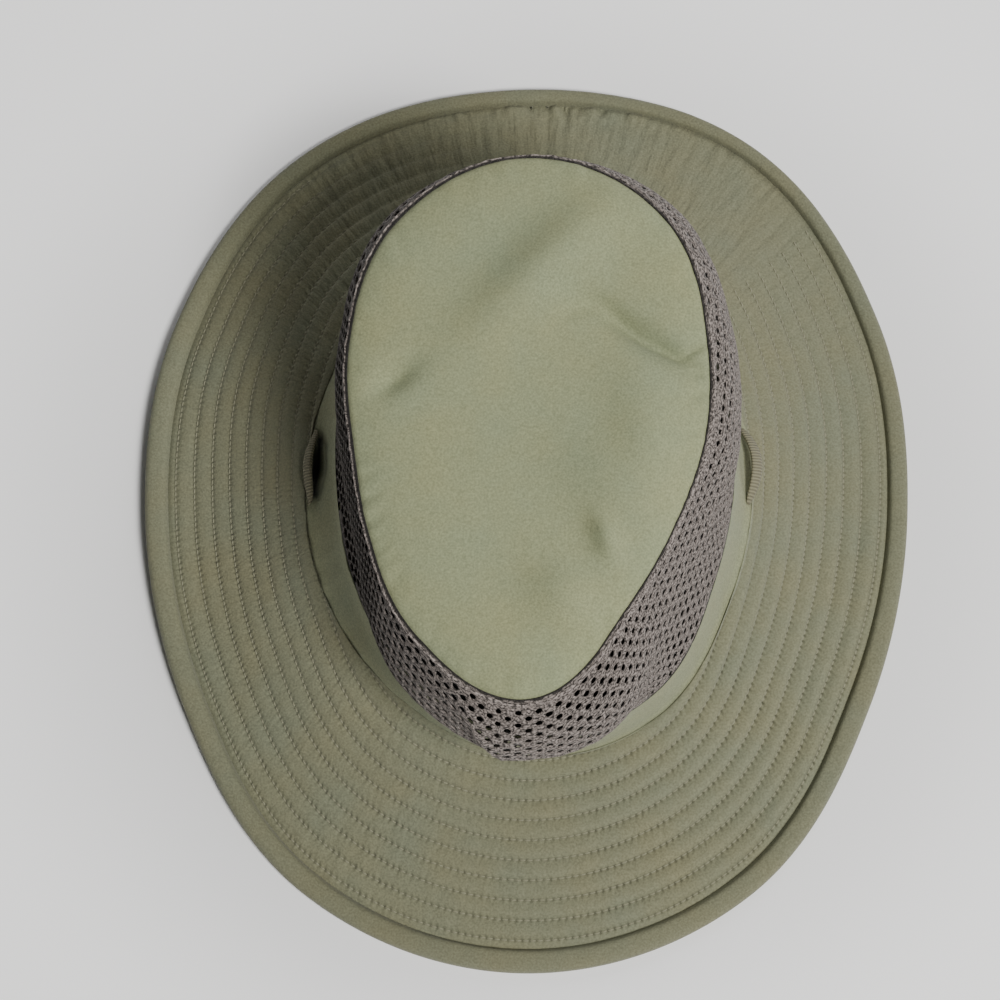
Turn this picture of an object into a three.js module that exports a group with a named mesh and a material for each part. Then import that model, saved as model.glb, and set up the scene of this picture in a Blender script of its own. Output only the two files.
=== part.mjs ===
// Wide-brim sun hat. Millimetres, +Z up, the front of the hat towards -Y.
// A quilted brim with a bound edge, a plain cloth strip, a net band and a plain top panel, with
// a flat tape loop on either side. The bound edge lies on z = 0 at the front and the back, and
// the hollow for the head is open below.
import * as THREE from 'three';

// ---- Driving dimensions ----

const STATIONS = 68;            // sections round the hat
const CLEARANCE = 0.36;         // between pieces that are sewn together

const BRIM_CLOTH = 2.0;
const STRIP_CLOTH = 1.6;
const NET_CLOTH = 1.8;
const TOP_CLOTH = 1.5;

const BRIM_ROWS = 9;            // rows of quilting
const ROW_START = 0.45;         // where the first row runs, as a share of a row's pitch
const ROW_DEPTH = 0.6;          // how far a row of stitches is drawn into the brim
const SIDE_LIFT = 4;            // the edge of the brim stands off the ground at the sides
const LIFT_START = 28;          // degrees away from the front or the back

const BINDING_WIDTH = 8.6;
const BINDING_CLOTH = 1.0;
const BINDING_CROWN = 2.3;      // the rolled binding stands this far above the brim's face
const BINDING_LIP = 1.1;        // and this far at its inner edge

const STRIP_RISE = 27;          // height of the cloth strip
const SHOULDER_DROP = 22;       // from the top seam down to the widest part of the net
const SHOULDER_FULL = 0.68;     // how soon the net swells out below the top seam
const PLEAT_ANGLE = 352;        // where the net is creased, left of the front
const PLEAT_WIDTH = 7;          // degrees
const PLEAT_HEIGHT = 1.5;
const NET_ROWS = 3;             // rows of holes in the net band
const NET_MARGIN = 0.1;         // plain share of the net along each of its edges
const HOLE_WIDTH = 1.16;        // of a hole in the net, as a share of a station
const HOLE_HEIGHT = 0.38;       // as a share of a row
const HOLE_CORNER = 0.2;        // height of its blunt ends, as a share of a row

const TOP_MIDDLE = 107.3;       // height of the top seam beside the middle of the hat
const TOP_TILT = 0.099;         // the top panel falls towards the front
const TOP_DOME = 4.5;           // rise of the top panel inside its seam
const TOP_ROLL = 9;             // distance from the seam over which it rises

const LOOP_TAPE = 1.0;
const LOOP_WIDTH = 6;
const LOOP_END_WIDTH = 2;       // what shows of the tape where it enters the seam
const LOOP_ANGLE = 97;          // of the middle of a loop, from the front
const LOOP_REACH = 10.5;        // half the angle that a loop spans
const LOOP_SEAT = 0.5;          // its ends stand this far off the strip
const LOOP_STAND = 2.2;         // and its middle this much further
const LOOP_FOOT = 2;            // height of its ends above the brim's seam
const LOOP_RISE = 6;            // and how much higher its middle is
const LOOP_SLOPE = 50;          // its face slopes outwards and down, degrees
const LOOP_STEPS = 14;

// Sections round the hat, a row every 30 degrees from the front towards +X. Radii of the brim's
// edge, of the brim's seam with the strip, of the strip's seam with the net, of the widest part
// of the net and of the top seam, with the height of the brim's seam. Tuck is how far the strip
// is drawn in between its seams, and bell is the share of the brim's fall that is a straight slope.
const SECTIONS = [
  { rim: 181.8, join: 102.0, rise: 29, tuck: 0, base: 101, belly: 110, seam: 94, bell: 0.65 },
  { rim: 174.5, join: 96.0, rise: 33, tuck: 0, base: 92, belly: 98, seam: 71, bell: 0.6 },
  { rim: 155.5, join: 88.5, rise: 37, tuck: 0.5, base: 82, belly: 81, seam: 62, bell: 0.55 },
  { rim: 151.6, join: 86.5, rise: 38, tuck: 1, base: 79, belly: 79, seam: 65, bell: 0.2 },
  { rim: 164.0, join: 91.0, rise: 35, tuck: 1, base: 86, belly: 90.5, seam: 77, bell: 0.5 },
  { rim: 182.5, join: 103.0, rise: 32, tuck: 0, base: 102, belly: 111, seam: 100, bell: 0.6 },
  { rim: 181.8, join: 108.0, rise: 31, tuck: 0, base: 107, belly: 114, seam: 108, bell: 0.4 },
  { rim: 178.5, join: 103.0, rise: 32, tuck: 0, base: 101, belly: 107, seam: 97, bell: 0.6 },
  { rim: 162.5, join: 90.0, rise: 35, tuck: 2, base: 82, belly: 84.5, seam: 77, bell: 0.8 },
  { rim: 151.6, join: 86.0, rise: 38, tuck: 4, base: 75, belly: 73, seam: 65, bell: 0.2 },
  { rim: 155.5, join: 88.0, rise: 37, tuck: 2, base: 79, belly: 76, seam: 68, bell: 0.4 },
  { rim: 174.0, join: 94.0, rise: 33, tuck: 0, base: 90, belly: 95.5, seam: 82, bell: 0.5 },
];

// Soft folds of the top panel: the middle of each, the way that it runs in degrees from +X,
// half its length and width, and its height.
const TOP_FOLDS = [
  { x: 6, y: 65, turn: 44, length: 38, width: 12, height: 3.0 },
  { x: 41, y: 40, turn: -33, length: 24, width: 5, height: -2.4 },
  { x: 46, y: -3, turn: -80, length: 32, width: 14, height: 2.4 },
  { x: 30, y: -16, turn: -50, length: 20, width: 14, height: 1.8 },
  { x: 29, y: -37, turn: -65, length: 9, width: 5, height: 2.2 },
  { x: 13, y: -57, turn: -30, length: 14, width: 10, height: 2.0 },
  { x: -50, y: 24, turn: 35, length: 10, width: 5, height: -2.0 },
];

const RADIANS = Math.PI / 180;

// ---- Lines across the hat, as points of [radius, height] at an angle from the front ----

// Value of a column of the sections at any angle, on a closed smooth line through the rows.
function around(column, angle) {
  const count = SECTIONS.length;
  const place = (((angle / 360) * count) % count + count) % count;
  const row = Math.floor(place);
  const value = (step) => SECTIONS[(row + step + count) % count][column];
  const line = new THREE.SplineCurve([-1, 0, 1, 2].map((step) => new THREE.Vector2(step, value(step))));
  return line.getPoint((1 + place - row) / 3).y;
}

// Height of the underside of the brim's edge.
function lift(angle) {
  const fromEnd = Math.asin(Math.abs(Math.sin(angle * RADIANS))) / RADIANS;
  return SIDE_LIFT * THREE.MathUtils.smoothstep(fromEnd, LIFT_START, 90);
}

// Height of the brim's upper face where the binding covers it.
function edgeHeight(angle) {
  return lift(angle) + BINDING_CLOTH + CLEARANCE + BRIM_CLOTH;
}

function brimLine(angle, share) {
  const { lerp } = THREE.MathUtils;
  const bell = around('bell', angle);
  const radius = lerp(around('rim', angle) - BINDING_WIDTH, around('join', angle), share);
  const climb = bell * share + (1 - bell) * share * share;
  return new THREE.Vector2(radius, lerp(edgeHeight(angle), around('rise', angle), climb));
}

function stripLine(angle, share) {
  const foot = new THREE.Vector2(around('join', angle), around('rise', angle));
  const head = new THREE.Vector2(around('base', angle), around('rise', angle) + STRIP_RISE);
  const point = foot.lerp(head, share);
  point.x -= around('tuck', angle) * 4 * share * (1 - share);
  return point;
}

function netLine(angle, share) {
  const pleat = PLEAT_HEIGHT * Math.exp(-(((angle - PLEAT_ANGLE) / PLEAT_WIDTH) ** 2));
  const base = around('base', angle);
  const belly = around('belly', angle) + pleat;
  const seam = around('seam', angle);
  const foot = around('rise', angle) + STRIP_RISE;
  const top = seamHeight(angle, seam);
  const widest = top - SHOULDER_DROP;
  const line = new THREE.SplineCurve([
    new THREE.Vector2(base, foot),
    new THREE.Vector2(belly - (belly - base) * 0.2, (foot + widest) / 2),
    new THREE.Vector2(belly, widest),
    new THREE.Vector2(seam + (belly - seam) * SHOULDER_FULL, top - SHOULDER_DROP / 3),
    new THREE.Vector2(seam, top),
  ]);
  return line.getPoint(share);
}

function seamHeight(angle, radius) {
  return TOP_MIDDLE - TOP_TILT * radius * Math.cos(angle * RADIANS);
}

function topLine(angle, share) {
  const seam = around('seam', angle);
  const radius = seam * (1 - share);
  const inside = seam - radius;
  const roll = 1 - Math.exp(-inside / TOP_ROLL);
  const folds = topFolds(radius * Math.sin(angle * RADIANS), -radius * Math.cos(angle * RADIANS));
  return new THREE.Vector2(radius, seamHeight(angle, radius) + roll * (TOP_DOME + folds));
}

function topFolds(x, y) {
  let height = 0;
  for (const fold of TOP_FOLDS) {
    const place = new THREE.Vector2(x - fold.x, y - fold.y);
    place.rotateAround(new THREE.Vector2(), -fold.turn * RADIANS);
    height += fold.height * Math.exp(-((place.x / fold.length) ** 2) - (place.y / fold.width) ** 2);
  }
  return height;
}

// The four lines end to end: the brim from 0 to 1, the strip to 2, the net to 3, the top to 4.
const LINES = [brimLine, stripLine, netLine, topLine];
const NUDGE = 0.01;

function lineFrom(piece, angle, place) {
  return LINES[piece](angle, place - piece);
}

// A point of a piece's wall, some depth below its face. The depth runs square to the face, and
// halfway between the two faces at a seam. Ends are drawn back from the seam by half the clearance.
function wallPoint(piece, angle, place, depth) {
  const before = Math.max(0, Math.ceil(place) - 1);
  const after = Math.min(LINES.length - 1, Math.floor(place));
  const point = lineFrom(piece, angle, place);
  const arriving = point.clone().sub(lineFrom(before, angle, place - NUDGE)).normalize();
  const leaving = lineFrom(after, angle, place + NUDGE).sub(point).normalize();
  const along = arriving.clone().add(leaving).normalize();
  const inward = new THREE.Vector2(-along.y, along.x);
  point.addScaledVector(inward, depth);
  if (place === piece && piece > 0) point.addScaledVector(leaving, CLEARANCE / 2);
  if (place === piece + 1) point.addScaledVector(arriving, -CLEARANCE / 2);
  return point;
}

function swing(angle, point) {
  const turn = angle * RADIANS;
  return new THREE.Vector3(point.x * Math.sin(turn), -point.x * Math.cos(turn), point.y);
}

// ---- Closed bodies ----

class Body {
  positions = [];
  index = [];
  named = new Map();

  // The number of the vertex of this name, which is placed the first time that it is asked for.
  vertex(name, place) {
    if (!this.named.has(name)) {
      this.named.set(name, this.positions.length / 3);
      this.positions.push(...place().toArray());
    }
    return this.named.get(name);
  }

  quad(a, b, c, d) {
    this.index.push(a, b, c, a, c, d);
  }

  geometry() {
    const geometry = new THREE.BufferGeometry();
    geometry.setAttribute('position', new THREE.Float32BufferAttribute(this.positions, 3));
    geometry.setIndex(this.index);
    geometry.computeVertexNormals();
    return geometry;
  }
}

// Skin over closed loops of points, one after another. A ring of loops closes on itself, and an
// open row of them has a flat cap at each end.
function skin(loops, ring) {
  const body = new Body();
  const size = loops[0].length;
  const at = (loop, corner) => {
    const row = loop % loops.length;
    const place = (corner + size) % size;
    return body.vertex(`${row} ${place}`, () => loops[row][place]);
  };
  for (let loop = 0; loop < loops.length - (ring ? 0 : 1); loop++) {
    for (let corner = 0; corner < size; corner++) {
      body.quad(at(loop, corner), at(loop + 1, corner), at(loop + 1, corner + 1), at(loop, corner + 1));
    }
  }
  if (!ring) {
    const last = loops.length - 1;
    body.quad(at(0, 0), at(0, 1), at(0, 2), at(0, 3));
    body.quad(at(last, 3), at(last, 2), at(last, 1), at(last, 0));
  }
  return body.geometry();
}

function skinRound(sectionAt) {
  const loops = [];
  for (let station = 0; station < STATIONS; station++) {
    const angle = (station / STATIONS) * 360;
    loops.push(sectionAt(angle).map((point) => swing(angle, point)));
  }
  return skin(loops, true);
}

// ---- Pieces ----

// Quilted brim: its rows of stitches are drawn in on the upper face, and it runs out flat under
// the binding.
function brim() {
  const underside = [1, 0.66, 0.33, 0];
  return skinRound((angle) => {
    const edge = new THREE.Vector2(around('rim', angle) - BINDING_CLOTH - CLEARANCE, edgeHeight(angle));
    const section = [edge, wallPoint(0, angle, 0, 0)];
    for (let row = 0; row < BRIM_ROWS; row++) {
      const stitch = (row + ROW_START) / BRIM_ROWS;
      const ridge = Math.min(1, (row + ROW_START + 0.5) / BRIM_ROWS);
      section.push(wallPoint(0, angle, stitch, ROW_DEPTH), wallPoint(0, angle, ridge, 0));
    }
    section[section.length - 1] = wallPoint(0, angle, 1, 0);
    for (const share of underside) section.push(wallPoint(0, angle, share, BRIM_CLOTH));
    section.push(new THREE.Vector2(edge.x, edge.y - BRIM_CLOTH));
    return section;
  });
}

// Binding: a strip folded round the edge of the brim, flat below and rolled above.
function binding() {
  return skinRound((angle) => {
    const rim = around('rim', angle);
    const floor = lift(angle);
    const face = edgeHeight(angle);
    const inner = rim - BINDING_WIDTH;
    const nose = rim - BINDING_CLOTH;
    return [
      [inner, floor],
      [rim - 1.5, floor],
      [rim, floor + 2.2],
      [rim - 2.6, face + BINDING_CROWN],
      [rim - 5.4, face + BINDING_CROWN * 0.9],
      [inner, face + BINDING_LIP],
      [inner, face + CLEARANCE],
      [nose, face + CLEARANCE],
      [nose, floor + BINDING_CLOTH],
      [inner, floor + BINDING_CLOTH],
    ].map(([radius, height]) => new THREE.Vector2(radius, height));
  });
}

function strip() {
  const places = [1, 1.33, 1.67, 2];
  return skinRound((angle) => [
    ...places.map((place) => wallPoint(1, angle, place, 0)),
    ...places.toReversed().map((place) => wallPoint(1, angle, place, STRIP_CLOTH)),
  ]);
}

// Net band: rows of staggered cells, each with a hole through the cloth, between plain margins.
function net() {
  const body = new Body();
  const cellHeight = (1 - 2 * NET_MARGIN) / NET_ROWS;
  const at = (station, share, depth) => {
    const column = (station + STATIONS) % STATIONS;
    const angle = (column / STATIONS) * 360;
    const place = () => swing(angle, wallPoint(2, angle, 2 + share, depth));
    return body.vertex(`${column.toFixed(4)} ${share.toFixed(4)} ${depth}`, place);
  };
  // A strip of faces between two lines of points, outside and in the other order inside.
  const bothSides = (lower, upper) => {
    for (let k = 0; k + 1 < lower.length; k++) {
      const corners = [lower[k], lower[k + 1], upper[k + 1], upper[k]];
      body.quad(...corners.map(([station, share]) => at(station, share, 0)));
      body.quad(...corners.reverse().map(([station, share]) => at(station, share, NET_CLOTH)));
    }
  };
  // The thickness of the cloth along a line of points.
  const edge = (line) => {
    for (let k = 0; k + 1 < line.length; k++) {
      const [from, to] = [line[k], line[k + 1]];
      body.quad(at(...from, 0), at(...to, 0), at(...to, NET_CLOTH), at(...from, NET_CLOTH));
    }
  };
  const level = (share) => Array.from({ length: STATIONS + 1 }, (_, station) => [station, share]);

  for (let row = 0; row < NET_ROWS; row++) {
    const floor = NET_MARGIN + row * cellHeight;
    const middle = floor + cellHeight / 2;
    for (let cell = 0; cell < STATIONS / 2; cell++) {
      const centre = 2 * cell + 1 + (row % 2);
      const outline = [];
      const hole = [];
      for (const [across, up] of [[-1, -1], [0, -1], [1, -1], [1, 1], [0, 1], [-1, 1], [-1, -1]]) {
        const tall = across === 0 ? HOLE_HEIGHT : HOLE_CORNER;
        outline.push([centre + across, up < 0 ? floor : floor + cellHeight]);
        hole.push([centre + (across * HOLE_WIDTH) / 2, middle + (up * tall * cellHeight) / 2]);
      }
      bothSides(outline, hole);
      edge(hole);
    }
  }
  bothSides(level(0), level(NET_MARGIN));
  bothSides(level(1 - NET_MARGIN), level(1));
  edge(level(0).reverse());
  edge(level(1));
  return body.geometry();
}

// Top panel: a thin cap of cloth with soft folds.
function topPanel() {
  const shares = [0, 0.07, 0.18, 0.38, 0.66];
  const body = new Body();
  const at = (station, ring, depth) => {
    const column = station % STATIONS;
    const angle = (column / STATIONS) * 360;
    const place = () => swing(angle, wallPoint(3, angle, 3 + shares[ring], depth));
    return body.vertex(`${column} ${ring} ${depth}`, place);
  };
  const middle = (depth) => {
    const place = () => new THREE.Vector3(0, 0, topLine(0, 1).y - depth);
    return body.vertex(`middle ${depth}`, place);
  };
  const last = shares.length - 1;
  for (let station = 0; station < STATIONS; station++) {
    const next = station + 1;
    for (let ring = 0; ring < last; ring++) {
      const corners = [[station, ring], [next, ring], [next, ring + 1], [station, ring + 1]];
      body.quad(...corners.map(([place, step]) => at(place, step, 0)));
      body.quad(...corners.reverse().map(([place, step]) => at(place, step, TOP_CLOTH)));
    }
    body.index.push(at(station, last, 0), at(next, last, 0), middle(0));
    body.index.push(at(next, last, TOP_CLOTH), at(station, last, TOP_CLOTH), middle(TOP_CLOTH));
    body.quad(at(next, 0, 0), at(station, 0, 0), at(station, 0, TOP_CLOTH), at(next, 0, TOP_CLOTH));
  }
  return body.geometry();
}

// Tape loop: comes out of the brim's seam, stands off the strip, and goes back into the seam. Its
// face slopes outwards and down.
function tapeLoop(middle) {
  const slope = LOOP_SLOPE * RADIANS;
  const across = new THREE.Vector2(Math.cos(slope), -Math.sin(slope));
  const outward = new THREE.Vector2(Math.sin(slope), Math.cos(slope));
  const loops = [];
  for (let step = 0; step <= LOOP_STEPS; step++) {
    const share = step / LOOP_STEPS;
    const angle = middle + LOOP_REACH * (2 * share - 1);
    const arch = Math.sin(Math.PI * share);
    const width = THREE.MathUtils.lerp(LOOP_END_WIDTH, LOOP_WIDTH, Math.sqrt(arch));
    const height = LOOP_FOOT + LOOP_RISE * Math.sqrt(arch);
    const upper = wallPoint(1, angle, 1 + height / STRIP_RISE, -LOOP_SEAT - LOOP_STAND * arch);
    const lower = upper.clone().addScaledVector(across, width);
    const face = [upper, lower].map((point) => point.clone().addScaledVector(outward, LOOP_TAPE));
    loops.push([lower, face[1], face[0], upper].map((point) => swing(angle, point)));
  }
  return skin(loops, false);
}

// ---- The hat ----

const cloth = new THREE.MeshStandardMaterial({ color: 0x8c8a70, roughness: 0.92, metalness: 0 });
const topCloth = new THREE.MeshStandardMaterial({ color: 0x96987c, roughness: 0.9, metalness: 0 });
const netCloth = new THREE.MeshStandardMaterial({ color: 0x817876, roughness: 0.95, metalness: 0 });
const tape = new THREE.MeshStandardMaterial({ color: 0x8a866a, roughness: 0.95, metalness: 0 });

const hat = new THREE.Group();

function add(name, geometry, material) {
  const mesh = new THREE.Mesh(geometry, material);
  mesh.name = name;
  hat.add(mesh);
}

add('brim', brim(), cloth);
add('brim_binding', binding(), cloth);
add('side_strip', strip(), topCloth);
add('net_band', net(), netCloth);
add('top_panel', topPanel(), topCloth);
add('side_loop_right', tapeLoop(LOOP_ANGLE), tape);
add('side_loop_left', tapeLoop(360 - LOOP_ANGLE), tape);

export default hat;
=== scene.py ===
"""Wide-brim sun hat: cloth, net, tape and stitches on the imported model, with a studio floor."""

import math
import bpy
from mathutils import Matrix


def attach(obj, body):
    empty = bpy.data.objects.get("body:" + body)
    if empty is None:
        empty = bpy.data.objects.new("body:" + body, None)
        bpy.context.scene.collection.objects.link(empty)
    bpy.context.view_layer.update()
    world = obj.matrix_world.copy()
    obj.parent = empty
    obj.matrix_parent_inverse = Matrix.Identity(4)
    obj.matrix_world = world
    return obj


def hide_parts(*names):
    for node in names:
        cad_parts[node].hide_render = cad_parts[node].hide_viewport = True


bl_info = {
    "name": "Wide-brim sun hat",
    "version": (1, 0, 0),
    "blender": (4, 5, 0),
    "location": "View3D > Sidebar > Sun hat",
    "description": "Builds a cloth sun hat with a quilted brim and a band of open net",
    "category": "Object",
}

from bisect import bisect_right
from collections import namedtuple
from functools import lru_cache

import bmesh
import bpy
from mathutils import Matrix, Vector, noise

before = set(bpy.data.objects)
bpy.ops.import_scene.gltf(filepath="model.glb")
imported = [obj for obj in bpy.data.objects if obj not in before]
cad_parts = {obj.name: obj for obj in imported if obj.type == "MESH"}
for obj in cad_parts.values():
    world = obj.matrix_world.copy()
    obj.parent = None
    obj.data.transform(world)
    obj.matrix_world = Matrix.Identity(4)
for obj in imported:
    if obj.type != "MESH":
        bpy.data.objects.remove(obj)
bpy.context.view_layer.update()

MM = 0.001

# ---- The hat's lines, in millimetres ----

BRIM_CLOTH = 2.0
STRIP_CLOTH = 1.2
TOP_CLOTH = 1.2
TAPE_CLOTH = 0.9
SIDE_LIFT = 4.0  # the edge stands off the ground at the sides
LIFT_START = 28.0
EDGE_RISE = 3.36  # from the ground to the brim's upper face under the binding
BINDING_WIDTH = 10.0
STRIP_RISE = 27.0
SHOULDER_DROP = 22.0  # from the top seam down to the widest part of the net
SHOULDER_FULL = 0.68
PLEAT = 4.8  # how far the net's one pleat stands out
RIDGE_RADIUS = 20.0  # of the net's folded shoulder at the front right
CORNER_ROUND = 2.6
TOP_MIDDLE = 107.3  # height of the top seam's plane at the middle
TOP_TILT = 0.099
TOP_DOME = 4.5
TOP_ROLL = 9.0
FOLD_DEPTH = 2.4  # how many times deeper the top panel's folds are than listed
BACK_SEAM = 177.0  # the brim's own seam, in degrees from the front
RUN_EVERY = 0.5  # degrees between the angles whose lines are worked out

# A row every 30 degrees from the front towards +X. Radii of the brim's edge, of its seam with the
# strip, of the strip's seam with the net, of the widest part of the net and of the top seam, with
# the height of the brim's seam, the strip's tuck and how straight the brim falls.
Section = namedtuple("Section", "rim join rise tuck base belly seam bell")
SECTIONS = [
    Section(181.8, 102.0, 29, 0, 101, 110, 94, 0.65),
    Section(174.5, 100.0, 33, 0, 96.5, 100, 71, 0.6),
    Section(155.5, 88.5, 37, 0.5, 82, 81, 62, 0.55),
    Section(151.6, 86.5, 38, 1, 79, 79, 65, 0.2),
    Section(164.0, 91.0, 35, 1, 86, 90.5, 77, 0.5),
    Section(182.5, 103.0, 32, 0, 102, 111, 100, 0.6),
    Section(181.8, 108.0, 31, 0, 107, 113.2, 108.8, 0.4),
    Section(178.5, 103.0, 32, 0, 101, 105.8, 97.6, 0.6),
    Section(162.5, 90.0, 35, 2, 81.5, 83.0, 77, 0.8),
    Section(151.6, 86.0, 38, 4, 73, 69.8, 65, 0.2),
    Section(155.5, 88.0, 37, 2, 77, 73.2, 68, 0.4),
    Section(174.0, 94.0, 33, 0, 90, 95.5, 82, 0.5),
]

# Soft folds of the top panel: middle, turn in degrees from +X, half length and width, height.
Fold = namedtuple("Fold", "x y turn length width height")
TOP_FOLDS = [
    Fold(6, 65, 44, 38, 12, 3.0),
    Fold(41, 40, -33, 24, 5, -2.4),
    Fold(46, -3, -80, 32, 14, 2.4),
    Fold(30, -16, -50, 20, 14, 1.8),
    Fold(29, -37, -65, 9, 5, 2.2),
    Fold(13, -57, -30, 14, 10, 2.0),
    Fold(-50, 24, 35, 10, 5, -2.0),
    # small creases
    Fold(19, 50, 20, 9, 2.6, -0.5),
    Fold(35, 45, -42, 10, 2.6, -0.7),
    Fold(54, 33, -26, 11, 2.2, -1.3),
    Fold(63, 36, 27, 6, 1.6, -2.2),
    Fold(65, 26, 0, 4, 1.6, -1.6),
    Fold(64, 18, 5, 4, 1.2, -0.9),
    Fold(40, -53, 20, 5, 2.0, -0.7),
]


def catmull_rom(before, start, end, after, share):
    leave, arrive = (end - before) / 2, (after - start) / 2
    cubic = (start - end) * 2 + leave + arrive
    square = (end - start) * 3 - leave * 2 - arrive
    return start + leave * share + square * share**2 + cubic * share**3


def spline(points, share):
    """A point of the smooth open line through these points."""
    place = share * (len(points) - 1)
    row = min(max(int(place), 0), len(points) - 2)
    last = len(points) - 1
    near = [points[min(max(row + step, 0), last)] for step in (-1, 0, 1, 2)]
    return catmull_rom(*near, place - row)


@lru_cache(maxsize=None)
def section(angle):
    """The hat's sizes at an angle from the front."""
    place = (angle % 360) / 30
    row = int(place)
    near = [SECTIONS[(row + step) % 12] for step in (-1, 0, 1, 2)]
    return Section(*(catmull_rom(*values, place - row) for values in zip(*near)))


def smooth(value, low, high):
    """Rises from 0 at low to 1 at high."""
    share = min(max((value - low) / (high - low), 0), 1)
    return share * share * (3 - 2 * share)


def bump(value, middle, width):
    return math.exp(-(((value - middle) / width) ** 2))


def turn_from(angle, middle):
    """Degrees from middle to angle, the short way round."""
    return (angle - middle + 180) % 360 - 180


def about(angle, middle, width):
    """1 in one direction from the hat's middle, fading on both sides of it."""
    return bump(turn_from(angle, middle), 0, width)


def stretch(angle, start, full, fade, end):
    """1 on a stretch of the way round, rising and fading smoothly at its ends."""
    turn = angle % 360
    return smooth(turn, start, full) * (1 - smooth(turn, fade, end))


def lift(angle):
    """How far the brim's edge stands off the ground."""
    from_end = math.degrees(math.asin(min(1.0, abs(math.sin(math.radians(angle))))))
    return SIDE_LIFT * smooth(from_end, LIFT_START, 90)


def seam_height(angle, radius):
    """The tilted plane that the top seam lies in."""
    return TOP_MIDDLE - TOP_TILT * radius * math.cos(math.radians(angle))


def binding_width(angle):
    """The binding narrows along the right and round the back."""
    return BINDING_WIDTH - stretch(angle, 55, 90, 215, 245) * (1.2 + 2.1 * about(angle, 160, 36))


def brim_line(angle, share):
    """The brim's upper face, from the binding to the seam with the strip."""
    size = section(angle)
    radius = (size.rim - binding_width(angle)) * (1 - share) + size.join * share
    climb = size.bell * share + (1 - size.bell) * share * share
    edge = lift(angle) + EDGE_RISE
    return Vector((radius, edge + (size.rise - edge) * climb))


def strip_line(angle, share):
    size = section(angle)
    point = Vector((size.join, size.rise)).lerp(Vector((size.base, size.rise + STRIP_RISE)), share)
    point.x -= size.tuck * 4 * share * (1 - share)
    return point


def net_line(angle, share):
    """From the strip up over the swollen shoulder to the top seam."""
    size = section(angle)
    foot = size.rise + STRIP_RISE
    top = seam_height(angle, size.seam)
    widest = top - SHOULDER_DROP
    # The pleat left of the front leans: it meets the top seam further round than the belly.
    crease = turn_from(angle, 355 - 11 * smooth(share, 0.45, 1.0))
    fall = 9.0 if crease > 0 else 3.4
    pleat = PLEAT * math.exp(-abs(crease) / fall) * bump(share, 0.62, 0.3)
    belly = size.belly + pleat
    full = SHOULDER_FULL * (1 - 0.3 * stretch(angle, 215, 240, 335, 352))
    swell = size.seam + (belly - size.seam) * full + pleat * 0.5
    soft = spline(
        [
            Vector((size.base, foot)),
            Vector((belly - (belly - size.base) * 0.2, (foot + widest) / 2)),
            Vector((belly, widest)),
            Vector((swell, top - SHOULDER_DROP / 3)),
            Vector((size.seam, top)),
        ],
        share,
    )
    # At the front right the shoulder is folded to a ridge.
    folded = stretch(angle, 10, 38, 74, 96)
    if folded == 0:
        return soft
    out = 11 + 9 * (1 - smooth(angle % 360, 10, 50))
    ridge = Vector((size.seam + out, top - math.sqrt(RIDGE_RADIUS**2 - out * out)))
    sharp = bent(Vector((size.base, foot)), ridge, Vector((size.seam, top)), share)
    return soft.lerp(sharp, folded)


def bent(start, corner, end, share):
    """A point of a line with one rounded corner."""
    first, second = (corner - start).length, (end - corner).length
    place = share * (first + second)
    before = start.lerp(corner, 1 - CORNER_ROUND / first)
    after = corner.lerp(end, CORNER_ROUND / second)
    if place < first - CORNER_ROUND:
        return start.lerp(corner, place / first)
    if place > first + CORNER_ROUND:
        return corner.lerp(end, (place - first) / second)
    way = (place - first + CORNER_ROUND) / (2 * CORNER_ROUND)
    return before.lerp(corner, way).lerp(corner.lerp(after, way), way)


def top_folds(x, y):
    height = 0.0
    for fold in TOP_FOLDS:
        turn = math.radians(fold.turn)
        along = (x - fold.x) * math.cos(turn) + (y - fold.y) * math.sin(turn)
        across = (y - fold.y) * math.cos(turn) - (x - fold.x) * math.sin(turn)
        far = (along / fold.length) ** 2 + (across / fold.width) ** 2
        height += fold.height * math.exp(-far)
    return height * FOLD_DEPTH


def top_line(angle, share):
    """From the top seam to the middle of the top panel."""
    seam = section(angle).seam
    radius = seam * (1 - share)
    inside = seam - radius
    roll = 1 - math.exp(-inside / TOP_ROLL)
    turn = math.radians(angle)
    folds = top_folds(radius * math.sin(turn), -radius * math.cos(turn))
    return Vector((radius, seam_height(angle, radius) + roll * (TOP_DOME + folds)))


class Run:
    """One of the lines at one angle, measured along its length."""

    PARTS = 48

    def __init__(self, line, angle):
        self.points = [line(angle, part / self.PARTS) for part in range(self.PARTS + 1)]
        self.lengths = [0.0]
        for start, end in zip(self.points, self.points[1:]):
            self.lengths.append(self.lengths[-1] + (end - start).length)
        self.length = self.lengths[-1]

    def at(self, distance, height=0.0):
        """The point this far along, and this far out from the line, as radius and height."""
        row = min(max(bisect_right(self.lengths, distance) - 1, 0), self.PARTS - 1)
        start, end = self.points[row], self.points[row + 1]
        share = (distance - self.lengths[row]) / (self.lengths[row + 1] - self.lengths[row])
        along = self.way(row).lerp(self.way(row + 1), min(max(share, 0), 1)).normalized()
        return start.lerp(end, share) + Vector((along.y, -along.x)) * height

    def way(self, row):
        before, after = self.points[max(row - 1, 0)], self.points[min(row + 1, self.PARTS)]
        return (after - before).normalized()


@lru_cache(maxsize=None)
def run_of(line, angle):
    return Run(line, angle)


def reach_of(line, angle):
    """The length of a line at the nearest angle that is worked out."""
    return run_of(line, round(angle / RUN_EVERY) * RUN_EVERY % 360).length


def swing(angle, point):
    """The place in the hat's own frame, in metres, of a radius and height at an angle."""
    turn = math.radians(angle)
    return Vector((point.x * math.sin(turn), -point.x * math.cos(turn), point.y)) * MM


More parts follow.
